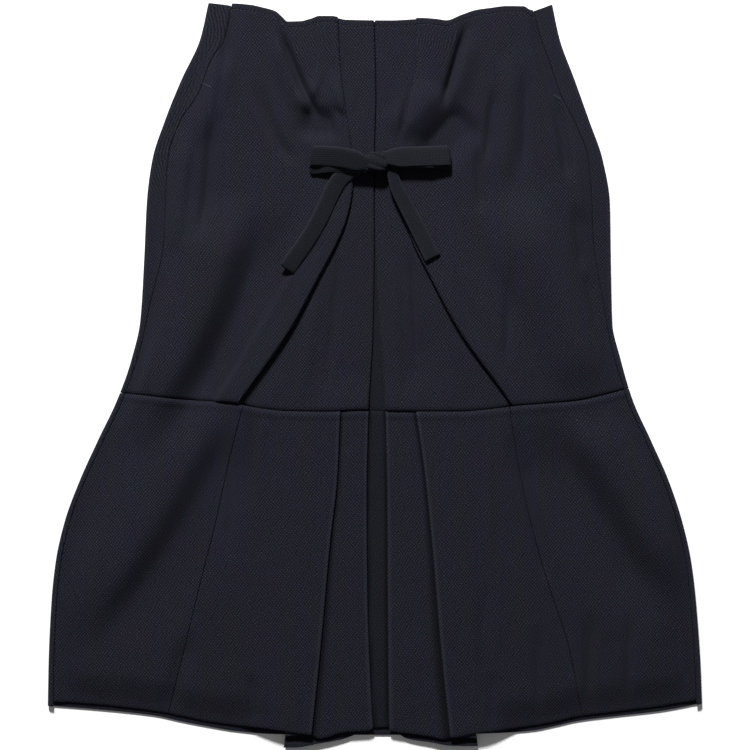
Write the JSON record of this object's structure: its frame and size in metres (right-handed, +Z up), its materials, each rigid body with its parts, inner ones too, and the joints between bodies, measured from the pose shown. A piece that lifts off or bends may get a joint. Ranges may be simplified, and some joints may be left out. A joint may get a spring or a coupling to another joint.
{
  "type": "midi skirt",
  "caption": "Midi skirt laid flat, front up: fitted upper with folded side panels tied in a bow over a pleated centre, and a flared flounce with deep pleats.",
  "frame": {"origin": "middle of the laid skirt's box, on the surface it lies on", "axes": "+Y up the skirt from hem to waist, +Z up out of the surface towards the front of the skirt, +X to the viewer's right"},
  "size_m": [0.6851, 0.7798, 0.0257],
  "materials": {
    "wool_cloth": "navy heavy wool twill, matt with a soft nap",
    "wool_tie": "navy heavy wool twill, doubled and turned for the tie"
  },
  "bodies": {
    "root": {"back_upper": "wool_cloth", "back_flounce": "wool_cloth", "front_underlay": "wool_cloth", "front_centre_left": "wool_cloth", "front_centre_right": "wool_cloth", "front_side_left": "wool_cloth", "front_side_right": "wool_cloth", "flounce_underlay": "wool_cloth", "flounce_centre_left": "wool_cloth", "flounce_centre_right": "wool_cloth", "flounce_side_left": "wool_cloth", "flounce_side_right": "wool_cloth", "bow_knot": "wool_tie", "bow_loop_left": "wool_tie", "bow_loop_right": "wool_tie", "bow_tail_left": "wool_tie", "bow_tail_right": "wool_tie"}
  },
  "joints": []
}
